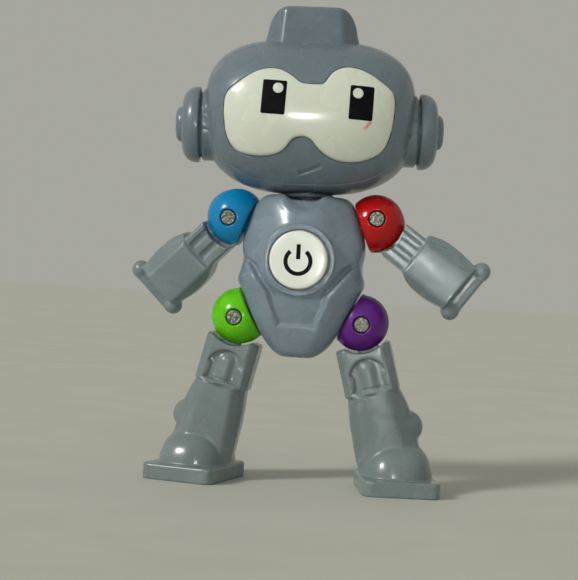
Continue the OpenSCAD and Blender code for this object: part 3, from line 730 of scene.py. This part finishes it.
def torso_form(x, y, z):
    f = torso_base(x, y, z)
    front = step_up((-y - 1.0) / 3.0)
    ax = np.abs(x)
    # two flat facets on the upper chest
    n, at = np.array(CHEST_FACET) / np.linalg.norm(CHEST_FACET), CHEST_FACET_AT
    facet = n[0] * (ax - at[0]) + n[1] * (y - at[1]) + n[2] * (z - at[2])
    facet = np.where(z > 44, facet, facet - (44 - z) * 0.8)
    f = blend_max(f, np.where(y < 0, facet, -9.0), 1.0)
    # the hollow under the chin and its rolled lip
    s = np.sqrt((x / SCOOP_HALF[0]) ** 2 + ((z - SCOOP_Z) / SCOOP_HALF[1]) ** 2)
    f = f + front * SCOOP_DEEP * step_up((1.1 - s) / 0.45)
    f = f - front * SCOOP_LIP * np.exp(-((s - 1.25) / 0.14) ** 2)
    # the raised rim round the button
    rb = np.hypot(x, z - BUTTON_Z)
    f = f - front * RIM_HIGH * step_up((RIM_R - rb) / 2.2)
    # the raised band down each side, joined across the bottom, round a sunk middle
    edge = rounded(BAND_EDGE, np.clip(z, 30, 46.5))
    band = np.maximum(step_up((ax - edge + 0.3) / 1.6), step_up((33.3 - z) / 1.4))
    reach = step_up((46.2 - z) / 2.2)
    below = step_up((40.8 - z) / 2.5)
    trench = np.exp(-((ax - edge + 0.3) / 0.75) ** 2) * step_up((z - 36) / 3) * step_up((46.4 - z) / 2)
    f = f - front * reach * BAND_HIGH * band
    f = f + front * np.maximum(below * (1 - band) * MIDDLE_DEEP, TRENCH_DEEP * trench)
    # the crotch plate is flat in front
    plate = -y - 7.35 - (z - 31) * 0.28
    return blend_max(f, np.where((y < 0) & (z < 34), plate, -9.0), 0.5)


def torso_shell(x, y, z):
    f = torso_form(x, y, z)
    f = blend_max(f, -sockets(x, y, z), 0.35)
    f = np.maximum(f, -(torso_base(x, y, z, -WALL)))
    neck = np.maximum(NECK_BORE - np.hypot(x, y), NECK_LOW - z)
    return np.maximum(f, np.where(z > NECK_LOW, neck, -neck))


def torso_front(x, y, z):
    f = blend_max(torso_shell(x, y, z), y + SEAM, 0.25)
    rb = np.hypot(x, z - BUTTON_Z)
    f = np.minimum(f, np.maximum(np.maximum(rb - BUTTON_R - 1.4, -y - 9.6), y + 7))
    return blend_max(f, -np.maximum(rb - BUTTON_R - 0.2, y + 5), 0.35)


def screw_hole(f, across, y, seat):
    """Cuts a screw's hole and the seat of its head, which starts at a given Y."""
    f = blend_max(f, -disc_field(across, y, SEAT_R, seat, THROUGH, 0.1), 0.2)
    return np.maximum(f, -disc_field(across, y, SCREW_R, -2, THROUGH, 0.1))


def torso_rear(x, y, z):
    f = blend_max(torso_shell(x, y, z), -y + SEAM, 0.25)
    for sx, sz in TORSO_SCREWS:
        across = np.hypot(x - sx, z - sz)
        f = np.minimum(f, np.maximum(np.maximum(across - TORSO_POST_R, torso_base(x, y, z)), 1 - y))
        f = screw_hole(f, across, y, 3.2)
    opening = np.maximum(np.abs(x) - DOOR_HALF[0], np.abs(z - DOOR_Z) - DOOR_HALF[1]) - DOOR_GAP
    f = blend_max(f, -np.maximum(opening, 2 - y), 0.2)
    holes = [(0, 0)] + [(GRILLE_R * math.cos(math.radians(a)), GRILLE_R * math.sin(math.radians(a)))
                        for a in range(0, 360, 60)]
    for hx, hz in holes:
        f = blend_max(f, -np.maximum(np.hypot(x - hx, z - GRILLE_Z - hz) - GRILLE_HOLE, 2 - y), 0.25)
    return f


def door_form(x, y, z):
    f = blend_max(torso_base(x, y, z), np.abs(x) - DOOR_HALF[0], 0.35)
    f = blend_max(f, np.abs(z - DOOR_Z) - DOOR_HALF[1], 0.35)
    f = np.maximum(np.maximum(f, -torso_base(x, y, z, -WALL + 0.1)), 2 - y)
    # three shallow ribs to push the door open by
    for k in range(3):
        rib = np.exp(-((z - RIB_TOP + RIB_PITCH * k) / 0.3) ** 2) * step_up((3.2 - np.abs(x)) / 0.5)
        f = f - RIB_HIGH * rib
    return screw_hole(f, np.hypot(x, z - DOOR_SCREW_Z), y, 7.8)


moulded("torso_front", torso_front, (-13.4, -10.6, 26.2), (13.4, 0, 59.8), TORSO_FRAME, MAT["torso"], "torso",
        ["torso_front_shell"])
moulded("torso_rear", torso_rear, (-13.4, 0, 26.2), (13.4, 10.6, 59.8), TORSO_FRAME, MAT["torso"], "torso",
        ["torso_rear_shell"], 1.15)
moulded("door", door_form, (-7.5, 2, 32.5), (7.5, 10.4, 46), TORSO_FRAME, MAT["torso"], "torso",
        ["battery_door"], 0.9)

# ---------- the chest button ----------

button_back = node_box("chest_button")[1][1]
CROWN_R, CROWN = 4.7, 0.05              # the button's face falls back by CROWN at this radius
BUTTON_PROFILE = ([(0, BUTTON_FRONT), (2.6, BUTTON_FRONT + 0.005), (CROWN_R, BUTTON_FRONT + CROWN)]
                  + arc((BUTTON_R - 0.62, BUTTON_FRONT + 0.68), 0.6, -78, 0, 8)
                  + [(BUTTON_R, BUTTON_FRONT + 1.0), (BUTTON_R, button_back - 0.85),
                     (BUTTON_R + BUTTON_FLANGE, button_back - 0.8), (BUTTON_R + BUTTON_FLANGE, button_back),
                     (0, button_back)])
BUTTON_FRAME = placed((MID_X, 0, BUTTON_Z), (0, 1, 0), (1, 0, 0), (0, 0, 1))
verts, faces = lathe(BUTTON_PROFILE, 128)
button = mesh_object("button", verts, faces, BUTTON_FRAME, MAT["button"])
join_up(button, "button", ["chest_button"])


def button_y(x, z):
    return BUTTON_FRONT + CROWN * min(1.0, (math.hypot(x, z) / CROWN_R) ** 2)


def strip_print(name, points, half, frame_at, finish, body):
    """Print along a line: the outline is filled by a ladder of quads, not a fan, so it may bend."""
    p = np.array(points, float)
    d = np.gradient(p, axis=0)
    d /= np.linalg.norm(d, axis=1)[:, None]
    n = np.stack([-d[:, 1], d[:, 0]], 1)
    offsets = np.linspace(-1, 1, 9)
    verts, faces, count = [], [], len(offsets)
    for layer, lift in enumerate((PRINT_LIFT, -PRINT_SUNK)):
        for i, (q, m) in enumerate(zip(p, n)):
            for o in offsets:
                v = q + m * half * o
                edge = PRINT_EDGE if abs(o) == 1 or i in (0, len(p) - 1) else 0
                verts.append((v[0], button_y(*v) - (lift - edge if layer == 0 else lift), v[1]))
    size = len(p) * count
    for i in range(len(p) - 1):
        for k in range(count - 1):
            a = i * count + k
            faces.append((a, a + 1, a + count + 1, a + count))
            faces.append((size + a, size + a + count, size + a + count + 1, size + a + 1))
        for k in (0, count - 1):
            a, b = i * count + k, (i + 1) * count + k
            side = (a, b, size + b, size + a)
            faces.append(side if k == 0 else side[::-1])
    for i in (0, len(p) - 1):
        for k in range(count - 1):
            a = i * count + k
            end = (a, size + a, size + a + 1, a + 1)
            faces.append(end if i == 0 else end[::-1])
    piece = mesh_object(name, verts, faces, frame_at, finish)
    join_up(piece, body, ())
    return piece


FACE_FRAME = placed((MID_X, 0, BUTTON_Z), (1, 0, 0), (0, 1, 0), (0, 0, 1))
RING_R, RING_DROP, STROKE_HALF = 2.5, 0.3, 0.42
RING = [(RING_R * math.sin(math.radians(a)), RING_R * math.cos(math.radians(a)) - RING_DROP)
        for a in range(38, 323, 6)]
strip_print("power_ring", RING, STROKE_HALF, FACE_FRAME, MAT["print"], "button")
strip_print("power_bar", [(0, 0.1), (0, 1.1), (0, 2.1), (0, 3.1)], STROKE_HALF, FACE_FRAME, MAT["print"],
            "button")

# ---------- balls and pins ----------

BALL_R, SLOT_HALF = 6.0, 1.45
PIN_R, PIN_HALF, PIN_HOLE_R, HOLE_STEP = 1.5, 5.5, 1.75, 0.22
EYE_R, TONGUE_HALF = 2.5, 1.3           # the limb's eye round the pin, and half the thickness of its tongue
BALL_CLEAR = 0.18                       # room between a ball and the limb's end that is hollowed round it


def ball_form(limb, part, x, y, z):
    cut, off = CUTS[limb.kind], limb.pin_offset
    way = -1 if part == "front" else 1
    f = np.sqrt(x * x + y * y + z * z) - BALL_R
    f = blend_max(f, -x - cut, 0.45)
    slot = np.maximum(np.abs(y) - SLOT_HALF, off - EYE_R - FACE_GAP - x)
    f = blend_max(f, -slot, 0.25)
    pin = np.hypot(x - off, z)
    f = blend_max(f, -(pin - PIN_HOLE_R + HOLE_STEP * step_up((4.9 - np.abs(y)) / 0.5)), 0.22)
    peg = np.maximum(np.hypot(y, z) - PEG_R, np.maximum(-x - cut - PEG_LEN, x + cut - 0.4))
    f = np.minimum(f, peg)
    return blend_max(f, -way * y + SEAM, 0.2)


def rough_end(y, z, ring):
    """The torn face of a sheared pin."""
    r = math.hypot(y, z)
    wave = math.sin(5.1 * y + 1.3) * math.cos(4.3 * z - 0.7) + 0.6 * math.sin(9.7 * z + 3.1 * y + 2.0)
    wave += 0.5 * math.cos(12.3 * y - 7.7 * z)
    return 0.07 * wave * max(0.0, 1 - (r / PIN_R) ** 6) * (1 if ring < 9 or ring > 12 else 0)


def pin_profile():
    radii = (0.15, 0.35, 0.55, 0.75, 0.95, 1.12, 1.26, 1.36)
    half = [(0, PIN_HALF)] + [(r, PIN_HALF) for r in radii]
    half += [(PIN_R - 0.04, PIN_HALF - 0.07), (PIN_R, PIN_HALF - 0.14)]
    return [(r, -h) for r, h in half] + half[::-1]


BALL_FINISH = {("shoulder", "right"): "blue", ("shoulder", "left"): "red", ("hip", "right"): "green",
               ("hip", "left"): "purple"}
for limb in LIMBS:
    finish = BALL_FINISH[limb.kind, limb.word]
    body = f"{limb.kind}_ball_{limb.word}"
    for part, low, high in (("front", -6.2, 0), ("rear", 0, 6.2)):
        moulded(f"{body}_{part}_shell", functools.partial(ball_form, limb, part), (-5.4, low, -6.2),
                (6.2, high, 6.2), limb.ball_frame, MAT[finish], body, [f"{body}_{part}"], 0.9)
    verts, faces = lathe(pin_profile(), 48, rough_end)
    pin = mesh_object(f"{limb.kind}_rivet_{limb.word}", verts, faces, limb.pin_frame, MAT["pin"])
    join_up(pin, body, [f"{limb.kind}_pin_{limb.word}"])

# ---------- arms ----------

ARM_LEN, ARM_DEEP = 22.6, 4.6           # from the pin to the hand's bar, and half the forearm's depth
BAR_AT, BAR_HALF, GROOVES = (-0.82, 0, -7.2), (3.93, 3.7, 4.3), (-2.05, 0.95)
HAND_X, HAND_R, KNOB_R = 5.0, 1.5, 1.88
ARM_OUTER = [(-9, 4.1), (-10, 4.3), (-12.4, 5.2), (-16, 5.5), (-21.4, 4.9), (-22.5, 4.7)]
ARM_INNER = [(-9, 4.8), (-10, 4.95), (-12, 5.95), (-16, 6.4), (-21.4, 5.6), (-22.5, 5.4)]


def on_pin_eye(limb, x, y, z, f, half_neck):
    """The tongue that enters the ball, and the hollow that clears the ball over the whole swing."""
    reach = np.minimum.reduce([np.hypot(x - bx, z - bz) for bx, bz in limb.ball_seen])
    f = blend_max(f, BALL_R + BALL_CLEAR - reach, 0.3)
    eye = np.maximum(np.hypot(x, z) - EYE_R, np.abs(y) - TONGUE_HALF)
    neck = box_field(x, y, z, (0, 0, -3.7), (half_neck, TONGUE_HALF, 3.7), 0.3)
    f = np.minimum(f, np.minimum(eye, neck))
    return np.maximum(f, PIN_R + 0.05 - np.hypot(x, z))


def arm_form(limb, x, y, z):
    ay = np.abs(y)
    # upper bar with two grooves front and back
    bar = box_field(x, y, z, BAR_AT, BAR_HALF, 0.7)
    for gx in GROOVES:
        groove = box_field(x, ay, z, (gx, 4.2, -6.2), (0.72, 1.1, 4.2), 0.45)
        bar = blend_max(bar, -groove, 0.3)
    # barrel forearm with a broad front facet and a side facet
    outer, inner = rounded(ARM_OUTER, z), rounded(ARM_INNER, z)
    f = blend_max(x - outer, -x - inner, 0.4)
    front = ARM_DEEP - 0.05 - 0.012 * (x + 1) ** 2
    f = blend_max(f, ay - front, 0.5)
    f = blend_max(f, (ay - ARM_DEEP) * 0.73 + (x - 2.2) * 0.68, 0.35)
    f = blend_max(f, (ay - ARM_DEEP) * 0.62 + (-x - 4.5) * 0.78, 0.35)
    f = blend_max(f, (z + 10.4) * 0.8 + (ay - 3.6) * 0.6, 0.3)
    f = blend_max(f, z + 9.9, 0.4)
    f = blend_max(f, -z - ARM_LEN + 0.9, 0.5)
    f = blend_min(f, bar, 0.35)
    # the bar of the hand and its two knobs
    hand = capsule_field(x, y, z, (-HAND_X, 0, -ARM_LEN), (HAND_X, 0, -ARM_LEN), HAND_R)
    lip = box_field(x, y, z, (0, 0, -ARM_LEN - 0.1), (HAND_X + 0.2, HAND_R - 0.05, HAND_R - 0.05), 0.5)
    hand = blend_min(hand, lip, 0.3)
    for end in (-1, 1):
        inner, outer = (end * HAND_X, -0.1, -ARM_LEN), (end * (HAND_X + 0.1), 0.1, -ARM_LEN)
        knob = capsule_field(x, y, z, inner, outer, KNOB_R)
        hand = blend_min(hand, knob, 0.35)
    f = blend_min(f, hand, 0.5)
    return on_pin_eye(limb, x, y, z, f, 2.0)


# ---------- legs ----------

LEG_IN, KNEE_Z = -0.9, -10.5            # the leg's middle beside the pin, and the knee peg's height
THIGH_HALF, THIGH_TOP, THIGH_LOW = (5.6, 5.0), -4.2, -14.2
HOLLOW_R, HOLLOW_Y, KNEE_PEG_R, RIB_R = 3.7, 4.05, 1.9, 0.75
SHIN_DEEP = 5.55
BULGE_AT, BULGE_HALF = (5.4, 0.8, -22.4), (3.1, 3.6, 3.2)
SHOE_HALF = (7.3, 8.7, 8.0)             # of the dome over the foot plate
TOE_OUT = {"right": 14.5, "left": 10.0}
FOOT_W, FOOT_LEN, FOOT_T = 15.6, 19.0, 3.2
SHIN_INNER = [(-31, 6.0), (-27, 6.25), (-24, 6.2), (-18, 5.8), (-13.2, 5.05), (-12, 4.9)]
SHIN_OUTER = [(-31, 6.3), (-27, 6.8), (-24, 6.85), (-18, 6.4), (-13.2, 5.2), (-12, 5.0)]


def leg_form(limb, x, y, z):
    pin_height = limb.pin_at[2]
    turn = math.radians(limb.angle)
    toe = math.radians(TOE_OUT[limb.word])
    foot_x = pin_height * math.tan(turn) + LEG_IN
    ay = np.abs(y)
    u = x - LEG_IN
    au = np.abs(u)
    # thigh with an arched hollow and an upright peg at the knee
    thigh = blend_max(au - THIGH_HALF[0], ay - THIGH_HALF[1], 0.5)
    thigh = blend_max(thigh, (au - 4.75) * 0.707 + (ay - 4.2) * 0.707, 0.5)
    thigh = blend_max(thigh, THIGH_LOW - z, 0.3)
    thigh = blend_max(thigh, z - THIGH_TOP, 0.9)
    hollow = np.hypot(u, np.maximum(z - KNEE_Z + 0.2, 0)) - HOLLOW_R
    hollow = np.maximum(hollow, HOLLOW_Y - ay)
    hollow = np.maximum(hollow, -z - 13.35)
    thigh = blend_max(thigh, -hollow, 0.7)
    peg = capsule_field(u, ay, z, (0, 3.0, KNEE_Z - 1.7), (0, 3.0, KNEE_Z + 1.3), KNEE_PEG_R)
    thigh = blend_min(thigh, peg, 0.5)
    for side in (-1, 1):
        rib = capsule_field(u, ay, z, (side * 3.75, 3.9, -12.6), (side * 3.6, 3.9, -10.4), RIB_R)
        thigh = blend_min(thigh, rib, 0.3)
    # a rounded lip between knee and shin
    lip = np.sqrt(u * u + np.maximum(ay - 1.6, 0) ** 2 + (1.25 * (z + 9.2)) ** 2) - 5.3
    lip = np.maximum(lip, z + 12.6)
    lip = np.maximum(lip, au - 5.2)
    # faceted shin
    half = np.where(u > 0, rounded(SHIN_OUTER, z), rounded(SHIN_INNER, z))
    deep = SHIN_DEEP + 0.02 * (z + 22) - 0.03 * u * u
    shin = blend_max(au - half, ay - deep, 0.4)
    shin = blend_max(shin, (au - 2.7) * 0.55 + (ay - deep) * 0.835 - 0.06 * (-z - 13), 0.3)
    shin = blend_max(shin, (au - half) * 0.86 + (ay - 2.4) * 0.51, 0.4)
    top = -13.3 - 0.055 * (16 - np.minimum(u * u, 16)) - 0.35 * step_up((ay - 3.5) / 2)
    shin = blend_max(shin, z - top, 0.35)
    f = blend_min(thigh, shin, 0.3)
    f = blend_min(f, lip, 0.3)
    # calf bulge on the outer side
    bulge = np.sqrt(sum(((v - at) / r) ** 2 for v, at, r in zip((u, y, z), BULGE_AT, BULGE_HALF)))
    f = blend_min(f, (bulge - 1) * 2.8, 0.6)
    # the shoe stands level on the floor, whatever the leg's splay
    fx = x * math.cos(turn) - z * math.sin(turn)
    fz = x * math.sin(turn) + z * math.cos(turn) + pin_height
    cx, cy = fx - foot_x, y
    px = cx * math.cos(toe) + cy * math.sin(toe)
    py = -cx * math.sin(toe) + cy * math.cos(toe)
    plate = box_field(px, py, fz * 0, (0, -1, 0), (FOOT_W / 2, FOOT_LEN / 2, 1e3), 1.8)
    plate = blend_max(blend_max(plate, fz - FOOT_T, 0.55), -fz, 0.3)
    dome = ((np.abs(px) / SHOE_HALF[0]) ** 2.4 + (np.abs(py - 0.3) / SHOE_HALF[1]) ** 2.5
            + (np.abs(fz - FOOT_T + 0.6) / SHOE_HALF[2]) ** 2.2)
    dome = (dome ** (1 / 2.4) - 1) * 6.0
    dome = np.maximum(dome, 1.0 - fz)
    f = np.maximum(f, 2.0 - fz)
    f = blend_min(blend_min(f, dome, 0.35), plate, 0.3)
    return on_pin_eye(limb, x, y, z, f, 2.2)


for limb in LIMBS:
    if limb.kind == "shoulder":
        name, form, finish = "arm_" + limb.word, arm_form, MAT["arm"]
        low, high = (-7.4, -5, -24.8), (7.4, 5, 2.8)
    else:
        name, form, finish = "leg_" + limb.word, leg_form, MAT["leg"]
        low, high = (-10.5, -11.8, -39), (11.5, 10.2, 2.8)
    moulded(name + "_moulding", functools.partial(form, limb), low, high, limb.frame, finish, name,
            [name])

# ---------- floor, light and camera ----------

bpy.ops.mesh.primitive_circle_add(vertices=96, radius=6, fill_type="TRIFAN", location=(0, 0, 0))
floor = bpy.context.object
floor.name = "floor"
floor.data.materials.append(material("floor_pale", (0.53, 0.53, 0.475), rough=0.7, cloud=0.03, cloud_size=0.05))

world = bpy.data.worlds.new("studio")
bpy.context.scene.world = world
world.use_nodes = True
sky = world.node_tree.nodes["Background"]
sky.inputs["Color"].default_value = (0.40, 0.402, 0.36, 1)
sky.inputs["Strength"].default_value = 0.95


def lamp(name, kind, at, power, colour, size, aim=(0, 0, 0.05), spread=34):
    """A soft lamp that shines at aim; size is a sun's angle, or a width whose light is held to spread."""
    data = bpy.data.lights.new(name, kind)
    if kind == "SUN":
        data.angle = math.radians(size)
    else:
        data.size, data.spread = size, math.radians(spread)
    data.energy, data.color = power, colour
    piece = bpy.data.objects.new(name, data)
    piece.location = at
    piece.rotation_euler = (Vector(aim) - Vector(at)).to_track_quat("-Z", "Y").to_euler()
    bpy.context.scene.collection.objects.link(piece)


lamp("key", "SUN", (-0.36, -0.31, 0.32), 1.95, (1.0, 0.99, 0.94), 12)
lamp("front", "AREA", (0.03, -0.42, 0.044), 0.011, (1.0, 1.0, 0.97), 0.03)
lamp("side", "AREA", (-0.024, -0.405, 0.156), 0.00075, (1.0, 1.0, 0.97), 0.04, (0.030, -0.004, 0.045), 10)

AZIMUTH, ROLL, DISTANCE = math.radians(6.5), math.radians(3.3), 279.5
LENS_MM, SENSOR_MM = 84.1, 36.0
RIGHT_SHIFT, UP_SHIFT = 3.48, 14.43
right = Vector((math.cos(AZIMUTH), math.sin(AZIMUTH), 0))
forward = Vector((-math.sin(AZIMUTH), math.cos(AZIMUTH), 0))
up = Vector((0, 0, 1))
cam_right = math.cos(ROLL) * right + math.sin(ROLL) * up
cam_up = -math.sin(ROLL) * right + math.cos(ROLL) * up
camera_data = bpy.data.cameras.new("camera")
camera_data.lens, camera_data.sensor_width, camera_data.sensor_fit = LENS_MM, SENSOR_MM, "HORIZONTAL"
camera_data.clip_start, camera_data.clip_end = 0.01, 50
camera = bpy.data.objects.new("camera", camera_data)
spot = Vector(MIDDLE) - RIGHT_SHIFT * cam_right - UP_SHIFT * cam_up - DISTANCE * forward
turn = Matrix((cam_right, cam_up, -forward)).transposed().to_4x4()
camera.matrix_world = Matrix.Translation(spot * MM) @ turn
bpy.context.scene.collection.objects.link(camera)
bpy.context.scene.camera = camera
bpy.context.scene.view_settings.view_transform = "Standard"
